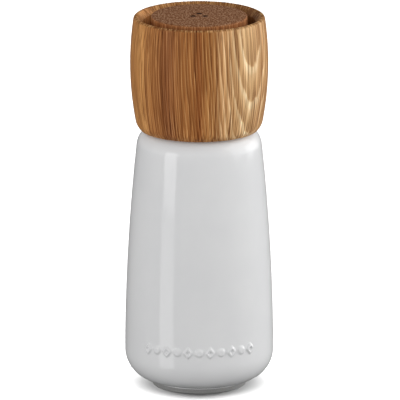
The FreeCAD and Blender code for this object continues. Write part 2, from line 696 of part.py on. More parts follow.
def make_bridge():
    body = revolve("bearing_spider", [
        ("bush_radius + bush_clearance", "hub_low_z"),
        ("hub_radius", "hub_low_z"),
        ("hub_radius", "bridge_top_z"),
        ("bush_radius + bush_clearance", "bridge_top_z"),
    ])
    arm = pad(body, "arm", [("hub_radius - arm_root", "-1*arm_half_width"),
                            ("rim_inner_radius + arm_root", "-1*arm_half_width"),
                            ("rim_inner_radius + arm_root", "arm_half_width"),
                            ("hub_radius - arm_root", "arm_half_width")],
              "housing_top_z", "bridge_top_z - housing_top_z")
    doc.recompute()
    polar(body, [arm], BRIDGE_ARMS)
    add_revolution(body, [("rim_inner_radius", "housing_top_z"), ("tube_radius", "housing_top_z"),
                          ("tube_radius", "bridge_top_z - lead_in"),
                          ("tube_radius - lead_in", "bridge_top_z"),
                          ("rim_inner_radius", "bridge_top_z")], "rim")
    revolve("shaft_bush", [
        ("bush_bore", "bush_low_z"),
        ("bush_radius", "bush_low_z"),
        ("bush_radius", "bridge_top_z"),
        ("bush_flange_radius", "bridge_top_z"),
        ("bush_flange_radius", "bush_top_z"),
        ("bush_bore", "bush_top_z"),
    ])


def make_spring():
    body = new_body("thrust_spring")
    sketch = new_sketch(body, "XZ_Plane", "thrust_spring_wire")
    draw_circle(sketch, "spring_radius", "spring_low_z + spring_wire_radius", "spring_wire_radius")
    doc.recompute()
    helix = body.newObject("PartDesign::AdditiveHelix", "thrust_spring_coil")
    helix.Profile = sketch
    helix.ReferenceAxis = (sketch, ["V_Axis"])
    helix.Mode = 1  # pitch and turns
    helix.setExpression("Pitch", bound("spring_pitch"))
    helix.setExpression("Turns", bound("spring_turns"))
    ring("spring_seat", "shaft_bore", "seat_radius", "core_top_z", "spring_low_z")


def make_drive_shaft():
    body = new_body("drive_shaft")
    pad(body, "square", square("shaft_half", "shaft_corner"), "shaft_low_z",
        "shaft_square_top_z - shaft_low_z")
    thread = []
    for i in range(SHAFT_THREADS):
        crest = f"shaft_square_top_z + thread_start + {i}*thread_pitch"
        thread += [("thread_radius", crest),
                   ("thread_radius - thread_depth", f"{crest} + 0.5*thread_pitch")]
    add_revolution(body, [("0", "shaft_square_top_z"), ("thread_radius", "shaft_square_top_z"),
                          *thread,
                          ("thread_radius", "shaft_top_z - shaft_end_chamfer"),
                          ("thread_radius - shaft_end_chamfer", "shaft_top_z"),
                          ("0", "shaft_top_z")], "thread")
    hole = new_sketch(body, "XY_Plane", "drive_shaft_tapped", "shaft_low_z + tapped_depth")
    draw_circle(hole, "0", "0", "tapped_radius")
    cut(body, hole)


def make_oak_head():
    revolve("oak_head", [
        ("insert_radius + wood_clearance", "head_low_z"),
        ("head_low_radius", "head_low_z", "+head_low_arc"),
        ("head_flank_low_radius", "head_flank_low_z", "+head_barrel_arc"),
        ("head_flank_top_radius", "head_flank_top_z", "+rim_outer_arc"),
        ("rim_radius", "rim_z", "+rim_inner_arc"),
        ("dish_start_radius", "dish_start_z"),
        ("dish_radius", "dish_low_z"),
        ("dish_radius", "recess_corner_z", "-recess_corner_arc"),
        ("recess_floor_radius", "recess_floor_z"),
        ("top_bush_radius + wood_clearance", "recess_floor_z"),
        ("top_bush_radius + wood_clearance", "top_bush_low_z"),
        ("head_bore", "top_bush_low_z"),
        ("head_bore", "insert_pocket_z"),
        ("insert_radius + wood_clearance", "insert_pocket_z"),
    ])


def make_head_insert():
    body = revolve("head_insert", [
        ("spigot_bore", "spigot_low_z"),
        ("spigot_radius - lead_in", "spigot_low_z"),
        ("spigot_radius", "spigot_low_z + lead_in"),
        ("spigot_radius", "ring_groove_low_z"),
        ("ring_groove_radius", "ring_groove_low_z"),
        ("ring_groove_radius", "ring_groove_top_z"),
        ("spigot_radius", "ring_groove_top_z"),
        ("spigot_radius", "head_low_z"),
        ("glide_inner_radius", "head_low_z"),
        ("glide_inner_radius", "glide_top_z"),
        ("insert_radius", "glide_top_z"),
        ("insert_radius", "insert_top_z"),
        ("insert_cup_radius", "insert_top_z"),
        ("insert_cup_radius", "insert_web_top_z"),
        ("head_bore", "insert_web_top_z"),
        ("head_bore", "insert_web_low_z"),
        ("spigot_bore", "insert_web_low_z"),
    ])
    screw_holes(body, "plate_screw_circle", "plate_shank_radius + small_screw_gap",
                "insert_web_top_z")
    ring("glide_ring", "glide_inner_radius", "insert_radius", "glide_low_z", "glide_top_z")
    o_ring = new_body("spigot_o_ring")
    sketch = new_sketch(o_ring, "XZ_Plane", "spigot_o_ring_section")
    draw_circle(sketch, "o_ring_radius", "o_ring_z", "o_ring_section")
    turned = o_ring.newObject("PartDesign::Revolution", "spigot_o_ring_turned")
    turned.Profile = sketch
    turned.ReferenceAxis = (sketch, ["V_Axis"])
    turned.Angle = 360


def make_drive_plate():
    body = revolve("drive_plate", [("0", "plate_low_z"), ("plate_radius", "plate_low_z"),
                                   ("plate_radius", "insert_web_low_z"), ("0", "insert_web_low_z")])
    hole = new_sketch(body, "XY_Plane", "drive_plate_square", "insert_web_low_z")
    draw(hole, square("square_hole_half", "shaft_corner"))
    cut(body, hole)
    screw_holes(body, "plate_screw_circle", "plate_shank_radius + small_screw_gap",
                "insert_web_low_z")
    screw_group("drive_plate_screws", "plate_screw_circle", "plate_low_z - plate_head_height",
                CHEESE_HEAD, "plate_shank_radius", "plate_screw_length")


def make_top_bush():
    revolve("top_bush", [
        ("shaft_bore", "top_bush_low_z"),
        ("top_bush_radius", "top_bush_low_z"),
        ("top_bush_radius", "recess_floor_z"),
        ("top_bush_flange_radius", "recess_floor_z"),
        ("top_bush_flange_radius", "top_bush_top_z"),
        ("shaft_bore", "top_bush_top_z"),
    ])


def make_knob():
    top_arc, low_arc = "knob_top_arc", "knob_low_arc"
    gap = "wood_clearance"
    body = revolve("knob_disc", [
        (f"knob_nut_flange_radius + {gap}", "knob_low_z"),
        (f"knob_radius - {low_arc}", "knob_low_z", f"+{low_arc}"),
        ("knob_radius", f"knob_low_z + {low_arc}"),
        ("knob_radius", f"knob_top_z - {top_arc}", f"+{top_arc}"),
        (f"knob_radius - {top_arc}", "knob_top_z"),
        ("0", "knob_top_z"),
        ("0", "knob_pocket_z"),
        (f"knob_nut_radius + {gap}", "knob_pocket_z"),
        (f"knob_nut_radius + {gap}", "knob_nut_flange_z"),
        (f"knob_nut_flange_radius + {gap}", "knob_nut_flange_z"),
    ])
    shank = "small_shank_radius + small_screw_gap"
    screw_holes(body, "knob_screw_circle", shank, "knob_nut_low_z + small_screw_length")
    nut = revolve("knob_nut", [
        ("knob_nut_bore", "knob_nut_low_z"),
        ("knob_nut_flange_radius", "knob_nut_low_z"),
        ("knob_nut_flange_radius", "knob_nut_flange_z"),
        ("knob_nut_radius", "knob_nut_flange_z"),
        ("knob_nut_radius", "knob_nut_top_z"),
        ("knob_nut_bore", "knob_nut_top_z"),
    ])
    screw_holes(nut, "knob_screw_circle", shank, "knob_nut_flange_z")
    countersinks(nut, "knob_screw_circle", "knob_nut_low_z")
    screw_group("knob_nut_screws", "knob_screw_circle", "knob_nut_low_z",
                COUNTERSUNK, "small_shank_radius", "small_screw_length")
    ring("friction_washer", "shaft_bore", "knob_nut_flange_radius", "friction_low_z",
         "knob_nut_low_z")


def check_and_export():
    """Stops on any failed object or bad shape, then writes one STEP file for each node."""
    doc.recompute()
    for item in doc.Objects:
        if "Invalid" in item.State or "Error" in item.State:
            raise RuntimeError(f"{item.Name} failed: {item.State}")
    os.makedirs("parts", exist_ok=True)
    for body in bodies:
        shape = body.Shape
        if shape.isNull() or not shape.isValid() or not shape.Solids:
            raise RuntimeError(f"{body.Label} has no valid shape")
        box = shape.BoundBox
        print(f"{body.Label}: {len(shape.Solids)} solid(s), {shape.Volume:.1f} mm3, "
              f"z {box.ZMin:.2f} to {box.ZMax:.2f}, radius {box.XMax:.2f}")
        shape.exportStep(os.path.join("parts", f"{body.Label}.step"))


def main():
    fill_sheet()
    make_stoneware_body()
    make_neck_collar()
    make_grinder_housing()
    make_seals_and_nut()
    make_outer_burr()
    make_inner_burr()
    make_burr_core()
    make_burr_screw()
    ring("burr_washer", "burr_shank_radius + washer_clearance", "burr_washer_radius",
         "burr_washer_low_z", "burr_recess_z")
    make_retainer()
    make_bridge()
    make_spring()
    make_drive_shaft()
    make_oak_head()
    make_head_insert()
    make_drive_plate()
    make_top_bush()
    make_knob()
    check_and_export()


main()
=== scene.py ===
"""A pepper mill: a glazed stoneware body, an oak head that turns on it, and an oak knob in the head.

Lengths in the outlines are millimetres, in the CAD model's frame. Azimuth 0 is the front, and it grows
towards the right, as seen from the front.
"""

import math

import bmesh
import bpy
import numpy as np
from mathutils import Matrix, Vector


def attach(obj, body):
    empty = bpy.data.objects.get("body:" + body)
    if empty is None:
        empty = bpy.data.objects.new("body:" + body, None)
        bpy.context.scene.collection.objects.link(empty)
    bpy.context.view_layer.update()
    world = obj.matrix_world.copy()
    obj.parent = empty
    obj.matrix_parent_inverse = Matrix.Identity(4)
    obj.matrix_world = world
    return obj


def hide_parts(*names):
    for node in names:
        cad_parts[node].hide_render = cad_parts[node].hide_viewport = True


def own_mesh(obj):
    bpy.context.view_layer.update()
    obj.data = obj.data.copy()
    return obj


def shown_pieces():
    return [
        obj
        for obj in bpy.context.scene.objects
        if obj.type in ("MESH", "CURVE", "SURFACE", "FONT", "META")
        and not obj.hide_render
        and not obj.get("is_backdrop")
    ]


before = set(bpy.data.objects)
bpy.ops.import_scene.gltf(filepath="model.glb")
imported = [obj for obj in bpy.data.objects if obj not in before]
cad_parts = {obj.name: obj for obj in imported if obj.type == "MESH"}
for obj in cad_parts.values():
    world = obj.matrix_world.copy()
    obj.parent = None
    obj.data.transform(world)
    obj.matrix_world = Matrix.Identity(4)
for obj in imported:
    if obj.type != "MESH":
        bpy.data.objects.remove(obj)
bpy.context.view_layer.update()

MM = 0.001


# ---------------------------------------------------------------- turned shapes


def arc_centre(start, end, radius):
    """The centre of the arc from start to end. A positive radius bulges to the right of the way."""
    chord = end - start
    left = np.array((-chord[1], chord[0])) / np.linalg.norm(chord)
    return (start + end) / 2 + math.copysign(1, radius) * left * math.sqrt(
        radius**2 - chord @ chord / 4
    )


def section(*corners):
    """The points of an outline. A corner is (r, z), then the radius of the arc that leads to it, or None,
    then the longest step."""
    points = [np.array(corners[0][:2], float)]
    for r, z, *more in corners[1:]:
        radius, step = (list(more) + [None, None])[:2]
        start, end = points[-1], np.array((r, z), float)
        if radius is None:
            count = max(1, math.ceil(np.linalg.norm(end - start) / (step or 5)))
            points += [start + (end - start) * i / count for i in range(1, count + 1)]
            continue
        centre = arc_centre(start, end, radius)
        first, last = (math.atan2(*(p - centre)[::-1]) for p in (start, end))
        sweep = (last - first + math.pi) % (2 * math.pi) - math.pi
        length = abs(radius * sweep)
        count = max(2, math.ceil(abs(sweep) / math.radians(7)), math.ceil(length / (step or 4)))
        for i in range(1, count + 1):
            turn = first + sweep * i / count
            points.append(centre + abs(radius) * np.array((math.cos(turn), math.sin(turn))))
    return np.array(points)


def columns(step, fine_to=0, fine_step=1):
    """Azimuths round the axis, in radians, closer together within fine_to degrees of the front."""
    fine = np.arange(-fine_to, fine_to, fine_step) if fine_to else np.array([])
    around = 360 - 2 * fine_to
    coarse = fine_to + around * np.arange(round(around / step)) / round(around / step)
    return np.radians(np.concatenate((fine, coarse)))


def lathe(name, outline, azimuths, shape=None):
    """A closed mesh turned about the axis. shape(r, z, azimuth) may move the points, and gives r and z."""
    verts, rings = [], []
    for r, z in outline:
        if r < 1e-6:
            rings.append([len(verts)] * len(azimuths))
            verts.append((0, 0, z))
            continue
        radii, heights = np.full(len(azimuths), r), np.full(len(azimuths), z)
        if shape:
            radii, heights = shape(radii, heights, azimuths)
        rings.append(list(range(len(verts), len(verts) + len(azimuths))))
        verts += zip(radii * np.sin(azimuths), -radii * np.cos(azimuths), heights)
    faces = []
    for low, high in zip(rings, rings[1:] + rings[:1]):
        for i in range(len(azimuths)):
            j = (i + 1) % len(azimuths)
            corners = dict.fromkeys((low[i], low[j], high[j], high[i]))
            if len(corners) > 2:
                faces.append(tuple(corners))
    return add_piece(name, np.array(verts) * MM, faces)


def add_piece(name, verts, faces, sharp=28):
    """A smooth mesh object, in metres, whose edges stay crisp where its faces meet at more than sharp
    degrees."""
    mesh = bpy.data.meshes.new(name)
    mesh.from_pydata([tuple(v) for v in verts], [], faces)
    work = bmesh.new()
    work.from_mesh(mesh)
    bmesh.ops.remove_doubles(work, verts=work.verts, dist=1e-7)
    bmesh.ops.recalc_face_normals(work, faces=work.faces)
    work.to_mesh(mesh)
    work.free()
    mesh.shade_smooth()
    mesh.set_sharp_from_angle(angle=math.radians(sharp))
    piece = bpy.data.objects.new(name, mesh)
    bpy.context.scene.collection.objects.link(piece)
    return piece


def ease(x, low, high):
    """0 below low and 1 above high, with a smooth rise between them."""
    t = np.clip((x - low) / (high - low), 0, 1)
    return t * t * (3 - 2 * t)


FLANK_LOW, FLANK_TOP, FLANK_ARC = (32.36, 15.6), (27.28, 107.5), 929.0
BAND_LOW, BAND_TOP = 18.5, 24.5  # the strip of the flank that carries the relief
MOTIFS, MOTIF_STEP = 11, 8.6  # their number, and degrees from one to the next
BEAD_RADIUS, LOZENGE_HALF, LOZENGE_POWER = 2.2, (2.4, 2.9), 1.25  # the power is 1 for straight sides
RELIEF = 0.7
WALL_MIDDLE = 30  # the flank is outside this radius at the band, and the chamber's wall is inside it


def flank_radius(z):
    """The radius of the flank's long curve at a height."""
    centre = arc_centre(np.array(FLANK_LOW), np.array(FLANK_TOP), FLANK_ARC)
    return centre[0] + math.sqrt(FLANK_ARC**2 - (z - centre[1]) ** 2)


def relief(r, z, azimuth):
    """Raises a row of beads and open lozenges on the front of the flank."""
    if r[0] < WALL_MIDDLE or not BAND_LOW < z[0] < BAND_TOP:
        return r, z
    middle = (BAND_LOW + BAND_TOP) / 2
    degrees = (np.degrees(azimuth) + 180) % 360 - 180
    number = np.round(degrees / MOTIF_STEP)
    across = np.radians(degrees - number * MOTIF_STEP) * r
    up = z - middle
    bead = 1 - ease(np.hypot(across, up) / BEAD_RADIUS, 0.45, 1)
    far = np.abs(across / LOZENGE_HALF[0]) ** LOZENGE_POWER + abs(up / LOZENGE_HALF[1]) ** LOZENGE_POWER
    far **= 1 / LOZENGE_POWER
    lozenge = ease(far, 0.12, 0.5) * (1 - ease(far, 0.62, 1))
    height = np.where(number % 2 == 0, bead, lozenge)
    height[np.abs(number) > MOTIFS // 2] = 0
    return r + RELIEF * height, z


stoneware_body = lathe(
    "stoneware_glazed",
    section(
        (18.0, 0), (20.0, 0), (20.5, 0.5, 0.5), (20.2, 2.3), (22.7, 3.1), (*FLANK_LOW, 12.84),
        (flank_radius(BAND_LOW), BAND_LOW, FLANK_ARC),
        (flank_radius(BAND_TOP), BAND_TOP, FLANK_ARC, 0.22),
        (*FLANK_TOP, FLANK_ARC), (22.95, 114.2, 8.74), (21.6, 114.2), (21.6, 113), (18.6, 113),
        (18.6, 105.5), (22.8, 101.5), (27.9, 18, -925), (19.1, 9.2, -8.8), (15.4, 9.2),
        (15.4, 5.2), (18.0, 5.2),
    ),
    columns(2.4, fine_to=48, fine_step=0.4),
    relief,
)
oak_head = lathe(
    "oak_head_turned",
    section(
        (19.45, 114.6), (25.75, 114.6), (27.7, 118.2, 7.42), (28.7, 163.3, 140),
        (27.3, 164.7, 1.45), (26.7, 164.4, 0.8), (24.6, 161.9), (24.6, 157.6), (23.4, 156.4, -1.2),
        (5.55, 156.4), (5.55, 148.2), (4.3, 148.2), (4.3, 132.2), (19.45, 132.2),
    ),
    columns(1.5),
)

DIMPLE_CIRCLE, DIMPLE_RADIUS, DIMPLE_DEPTH = 3.0, 1.5, 0.2
DIMPLES = [(DIMPLE_CIRCLE * math.sin(a), DIMPLE_CIRCLE * math.cos(a)) for a in np.radians((0, 120, 240))]
KNOB_TOP = 165.0
KNOB_MIDDLE = 5  # the radius of the finer mesh that takes the dimples


def dimples(r, z, azimuth):
    """Presses three small dimples, set like peppercorns, into the middle of the knob's top."""
    if z[0] < KNOB_TOP - 0.01 or r[0] > KNOB_MIDDLE:
        return r, z
    x, y = r * np.sin(azimuth), -r * np.cos(azimuth)
    for dx, dy in DIMPLES:
        z = z - DIMPLE_DEPTH * (1 - ease(np.hypot(x - dx, y - dy) / DIMPLE_RADIUS, 0.5, 1))
    return r, z


knob_disc = lathe(
    "knob_disc_turned",
    section(
        (9.05, 158.6), (18.76, 158.6), (20.96, 160.8, 2.2), (20.96, 164.1), (20.06, KNOB_TOP, 0.9),
        (KNOB_MIDDLE, KNOB_TOP), (0, KNOB_TOP, None, 0.2), (0, 163.8), (4.05, 163.8), (4.05, 159.15),
        (9.05, 159.15),
    ),
    columns(2.5),
    dimples,
)


def coil(name, radius, wire, low, high, turns, steps_a_turn=60, sides=14):
    """A round wire wound about the axis, with its ends cut square to the wire. wire is its radius."""
    steps = round(turns * steps_a_turn)
    rise = (high - low - 2 * wire) / (2 * math.pi * turns)
    verts, faces = [], []
    for i in range(steps + 1):
        turn = 2 * math.pi * turns * i / steps
        out = np.array((math.cos(turn), math.sin(turn), 0))
        along = np.array((-radius * out[1], radius * out[0], rise))
        up = np.cross(out, along / np.linalg.norm(along))
        middle = radius * out + np.array((0, 0, low + wire + rise * turn))
        for k in range(sides):
            side = 2 * math.pi * k / sides
            verts.append(middle + wire * (math.cos(side) * out + math.sin(side) * up))
    for i in range(steps):
        for k in range(sides):
            a, b = i * sides + k, i * sides + (k + 1) % sides
            faces.append((a, b, b + sides, a + sides))
    faces += [tuple(range(sides)), tuple(range(steps * sides, (steps + 1) * sides))]
    return add_piece(name, np.array(verts) * MM, faces)


SPRING_TOP, SPRING_LENGTH, SHAFT_TRAVEL = 23.0, 6.2, 1.6
spring = coil(
    "thrust_spring_wound", radius=5.0, wire=0.45, low=SPRING_TOP - SPRING_LENGTH, high=SPRING_TOP, turns=4
)


# ---------------------------------------------------------------- finishes


def rgb(red, green, blue):
    """A display colour, 0 to 255, as the linear colour that a shader takes."""
    parts = [c / 255 for c in (red, green, blue)]
    return (*(c / 12.92 if c < 0.04045 else ((c + 0.055) / 1.055) ** 2.4 for c in parts), 1.0)


class Finish:
    """A procedural material. A value that a method takes is a number, a colour or a node's output."""

    def __init__(self, name, base=(0.8, 0.8, 0.8, 1), **sockets):
        self.material = bpy.data.materials.new(name)
        self.material.use_nodes = True
        self.tree = self.material.node_tree
        self.set(Base_Color=base, **sockets)
        place = self.tree.nodes.new("ShaderNodeTexCoord")
        self.normal = place.outputs["Normal"]
        self.at = self.vector("SCALE", place.outputs["Object"], Scale=1 / MM)

    def put(self, socket, given):
        if isinstance(given, bpy.types.NodeSocket):
            self.tree.links.new(given, socket)
        else:
            socket.default_value = given

    def set(self, **sockets):
        """Sets sockets of the shader by name, with _ for each space."""
        shader = self.tree.nodes["Principled BSDF"]
        for name, given in sockets.items():
            self.put(shader.inputs[name.replace("_", " ")], given)
        return self

    def node(self, kind, inputs, out=0, **settings):
        made = self.tree.nodes.new("ShaderNode" + kind)
        for name, setting in settings.items():
            setattr(made, name, setting)
        for key, given in inputs.items():
            self.put(made.inputs[key], given)
        return made.outputs[out]

    def math(self, operation, *values):
        return self.node("Math", dict(enumerate(values)), operation=operation)

    def vector(self, operation, *values, **named):
        out = "Value" if operation == "DISTANCE" else "Vector"
        return self.node("VectorMath", {**dict(enumerate(values)), **named}, out, operation=operation)

    def split(self, vector):
        made = self.tree.nodes.new("ShaderNodeSeparateXYZ")
        self.put(made.inputs[0], vector)
        return made.outputs

    def noise(self, at, per_mm, detail=2.0, roughness=0.5, out=0):
        """Noise about 0.5. per_mm is how often it changes in a millimetre, along each axis or all."""
        if isinstance(per_mm, tuple):
            at, per_mm = self.vector("MULTIPLY", at, per_mm), 1.0
        return self.node(
            "TexNoise", {"Vector": at, "Scale": per_mm, "Detail": detail, "Roughness": roughness}, out
        )

    def rise(self, value, low, high, to_low=0.0, to_high=1.0):
        """Eases from to_low to to_high as the value goes from low to high."""
        inputs = {"Value": value, "From Min": low, "From Max": high, "To Min": to_low, "To Max": to_high}
        return self.node("MapRange", inputs, interpolation_type="SMOOTHSTEP")

    def mix(self, share, first, second, blend="MIX"):
        return self.node("Mix", {0: share, 6: first, 7: second}, 2, data_type="RGBA", blend_type=blend)

    def ramp(self, value, *stops):
        """A colour that follows the value through stops of (place, colour)."""
        made = self.tree.nodes.new("ShaderNodeValToRGB")
        made.color_ramp.interpolation = "EASE"
        self.put(made.inputs[0], value)
        elements = made.color_ramp.elements
        for _ in stops[2:]:
            elements.new(0.5)
        for element, (place, colour) in zip(elements, sorted(stops)):
            element.position = place
            element.color = colour if isinstance(colour, tuple) else (colour, colour, colour, 1)
        return made.outputs[0]

    def bump(self, height, depth, under=None):
        """A relief whose height from 0 to 1 is depth millimetres."""
        inputs = {"Height": height, "Distance": depth * MM, "Strength": 1.0}
        if under is not None:
            inputs["Normal"] = under
        return self.node("Bump", inputs)


def glazed_stoneware():
    """White glaze with a faint ripple and a few specks. The foot ring is unglazed and rough, and its dark
    grey is partly the unglazed body and partly painted shade where the foot sits under the body's overhang.
    """
    f = Finish("glazed_white_stoneware", IOR=1.52)
    waver = f.noise(f.at, 0.09, 2)
    orange_peel = f.noise(f.at, 0.7, 2)
    cloud = f.noise(f.at, 0.05, 3)
    height = f.split(f.at)[2]
    # The foot ring below about 2 mm: unglazed and rough, and darkened as painted shade.
    bare_and_shaded_foot = f.rise(height, 1.8, 2.3, 1, 0)
    grit = f.noise(f.at, 3.5, 3, 0.6)
    glaze = f.ramp(cloud, (0.3, (0.775, 0.778, 0.785, 1)), (0.7, (0.80, 0.802, 0.806, 1)))
    # The foot's dark grey is partly the unglazed body and partly painted shade under the overhang.
    clay_in_painted_shade = f.ramp(grit, (0.35, (0.29, 0.288, 0.283, 1)), (0.65, (0.38, 0.377, 0.37, 1)))
    specks = f.rise(f.noise(f.at, 1.6, 1), 0.80, 0.86)
    glaze = f.mix(f.math("MULTIPLY", specks, 0.35), glaze, (0.62, 0.60, 0.57, 1))
    gloss = f.rise(f.noise(f.at, 0.4, 3), 0.3, 0.7, 0.07, 0.12)
    ripple = f.bump(waver, 0.10)
    ripple = f.bump(orange_peel, 0.004, ripple)
    ripple = f.bump(f.math("MULTIPLY", grit, bare_and_shaded_foot), 0.08, ripple)
    return f.set(
        Base_Color=f.mix(bare_and_shaded_foot, glaze, clay_in_painted_shade),
        Roughness=f.math("MAXIMUM", gloss, f.math("MULTIPLY", bare_and_shaded_foot, 0.8)),
        Normal=ripple,
    )


TONE_LIMIT = 4.0  # a ramp's colours stop at 1, so it holds the tones as shares of this
GRAIN_RADIUS = 28.0  # follow leaves the grain unmoved here, a little inside the head's surface
STREAK_POWERS = (0.9, 1.15, 1.4)  # for red, green and blue, so that dark streaks are also redder
SCORCHED = rgb(46, 26, 17)


def oak(name, pith, lean, ring, woods, tones_and_painted_light, end, end_share, follow=0.0, burnt=()):
    """Solid oak. pith is where the middle of the trunk crosses z 0, and lean is how far it moves per mm of
    height. ring is the width of a year's growth. woods are the colours of ring lines, latewood, middle wood
    and pores. tones_and_painted_light are stops of (degrees, factors) round the axis that the colour is
    multiplied by; besides the oak's own colour they can hold painted light and painted shade set by where
    the light falls. end is the factor on cut faces, and end_share how far they take it. follow, from 0 to
    1, is how far the grain keeps to the turned surface. burnt are places in the knob's top, as (x, y), that
    are scorched."""
    f = Finish(name, IOR=1.45, Specular_IOR_Level=0.08)
    x, y, _ = f.split(f.at)
    turn = f.math("ARCTAN2", x, f.math("MULTIPLY", y, -1))
    off_axis = f.math("SQRT", f.math("ADD", f.math("POWER", x, 2), f.math("POWER", y, 2)))
    pull = f.math("POWER", f.math("DIVIDE", GRAIN_RADIUS, f.math("MAXIMUM", off_axis, 1.0)), follow)
    pulled = f.node("CombineXYZ", {0: pull, 1: pull, 2: 1.0})
    at = f.vector("MULTIPLY", f.at, pulled)
    sway = f.vector("SUBTRACT", f.noise(at, (0.03, 0.03, 0.011), 1, out=1), (0.5, 0.5, 0.5))
    waver = f.vector("SUBTRACT", f.noise(at, (0.3, 0.3, 0.03), 2, out=1), (0.5, 0.5, 0.5))
    at = f.vector("ADD", at, f.vector("SCALE", sway, Scale=3.0))
    at = f.vector("ADD", at, f.vector("SCALE", waver, Scale=0.8))
    x, y, z = f.split(at)
    out_x = f.math("SUBTRACT", x, f.math("MULTIPLY_ADD", z, lean[0], pith[0]))
    out_y = f.math("SUBTRACT", y, f.math("MULTIPLY_ADD", z, lean[1], pith[1]))
    distance = f.math("SQRT", f.math("ADD", f.math("POWER", out_x, 2), f.math("POWER", out_y, 2)))
    drift = f.node("TexNoise", {"W": distance, "Scale": 0.22, "Detail": 2.0}, noise_dimensions="1D")
    years = f.math("MULTIPLY_ADD", drift, 1.6, f.math("DIVIDE", distance, ring))
    season = f.math("FRACT", years)
    early = f.math("MULTIPLY", f.rise(season, 0.0, 0.08), f.rise(season, 0.15, 0.5, 1, 0))
    pore = f.rise(f.noise(at, (2.4, 2.4, 0.022), 2), 0.50, 0.62)
    stray = f.rise(f.noise(at, (2.4, 2.4, 0.02), 1), 0.60, 0.68)
    fibre = f.noise(at, (2.0, 2.0, 0.012), 2, 0.6)
    broad = f.noise(at, (0.6, 0.6, 0.005), 2, 0.6)
    rays = f.rise(f.noise(at, (0.9, 0.9, 0.45), 1), 0.66, 0.74)
    fleck = f.rise(f.noise(at, (1.3, 0.45, 0.2), 2, 0.7), 0.46, 0.58)
    fleck = f.math("MULTIPLY", fleck, f.rise(f.math("PINGPONG", season, 0.5), 0.05, 0.45, 0.35, 1.0))
    line = f.math("MULTIPLY", f.rise(season, 0.72, 0.86), f.rise(season, 0.94, 1.0, 1, 0))
    pale, late, middle, dark = woods
    wood = f.mix(f.rise(season, 0.35, 0.95), middle, late)
    wood = f.mix(f.math("MULTIPLY", line, 0.36), wood, pale)
    wood = f.mix(f.math("MULTIPLY", early, f.math("MULTIPLY_ADD", pore, 0.48, 0.06)), wood, dark)
    wood = f.mix(f.math("MULTIPLY", stray, 0.62), wood, dark)
    wood = f.mix(f.math("MULTIPLY", rays, 0.14), wood, late)
    streaks = f.math("MULTIPLY", f.rise(fibre, 0.3, 0.7, 0.58, 1.42), f.rise(broad, 0.3, 0.7, 0.8, 1.2))
    cut = f.rise(f.math("ABSOLUTE", f.split(f.normal)[2]), 0.35, 0.9)
    calm = f.math("MULTIPLY_ADD", cut, -0.75, 1.0)
    streaks = f.math("MULTIPLY_ADD", f.math("SUBTRACT", streaks, 1.0), calm, 1.0)
    shade = [f.math("MULTIPLY", f.math("POWER", streaks, power), TONE_LIMIT) for power in STREAK_POWERS]
    wood = f.vector("MULTIPLY", wood, f.node("CombineXYZ", dict(enumerate(shade))))
    # The colour is multiplied by stops round the axis. On the head these stops hold painted light and
    # painted shade as well as the oak's own colour.
    stops = [(0.5 + degrees / 360, (*(c / TONE_LIMIT for c in tone_and_painted_light), 1)) for degrees, tone_and_painted_light in tones_and_painted_light]
    tone_and_painted_light = f.ramp(f.math("MULTIPLY_ADD", turn, 0.5 / math.pi, 0.5), *stops)
    wood = f.mix(1.0, wood, tone_and_painted_light, "MULTIPLY")
    sawn = f.mix(f.math("MULTIPLY", fleck, 0.85), f.mix(1.0, wood, end, "MULTIPLY"), pale)
    wood = f.mix(f.math("MULTIPLY", cut, end_share), wood, sawn)
    burn = 0.0
    for spot in burnt:
        away = f.vector("DISTANCE", f.at, (*spot, KNOB_TOP))
        burn = f.math("MAXIMUM", burn, f.rise(away, 0.75 * DIMPLE_RADIUS, 1.05 * DIMPLE_RADIUS, 1, 0))
    if burnt:
        wood = f.mix(burn, wood, SCORCHED)
    hollows = f.math("MAXIMUM", f.math("MULTIPLY", early, pore), f.math("MULTIPLY", stray, 0.7))
    grain = f.bump(f.math("SUBTRACT", 1.0, hollows), 0.05)
    grain = f.bump(fibre, 0.02, grain)
    rough = f.math("MULTIPLY_ADD", hollows, 0.2, f.rise(broad, 0.3, 0.7, 0.46, 0.54))
    rough = f.math("MAXIMUM", rough, f.math("MULTIPLY", cut, 0.85))
    return f.set(Base_Color=wood, Roughness=rough, Normal=grain)


def moulded(name, base, roughness, wear, grain_depth=0.012):
    """A moulded plastic or rubber: fine spark grain, slow shade changes and paler rubbed patches."""
    f = Finish(name)
    grain = f.noise(f.at, 4.0, 3, 0.6)
    cloud = f.noise(f.at, 0.12, 3)
    rub = f.rise(f.noise(f.at, 0.5, 4, 0.65), 0.56, 0.72)
    shade = f.mix(1.0, base, f.ramp(cloud, (0.3, 0.9), (0.7, 1.0)), "MULTIPLY")
    return f.set(
        Base_Color=f.mix(f.math("MULTIPLY", rub, 0.3), shade, wear),
        Roughness=f.rise(cloud, 0.3, 0.7, roughness - 0.06, roughness + 0.06),
        Normal=f.bump(grain, grain_depth),
    )


def metal(name, base, roughness, lines, depth):
    """A machined metal. lines is how often the tool marks change in a millimetre, along each axis."""
    f = Finish(name, base, Metallic=1.0)
    marks = f.noise(f.at, lines, 3, 0.6)
    smear = f.noise(f.at, 0.35, 3, 0.6)
    tint = f.ramp(smear, (0.3, 0.86), (0.7, 1.0))
    return f.set(
        Base_Color=f.mix(1.0, base, tint, "MULTIPLY"),
        Roughness=f.math("MULTIPLY_ADD", marks, 0.16, f.rise(smear, 0.3, 0.7, roughness - 0.1, roughness)),
        Normal=f.bump(marks, depth),
    )


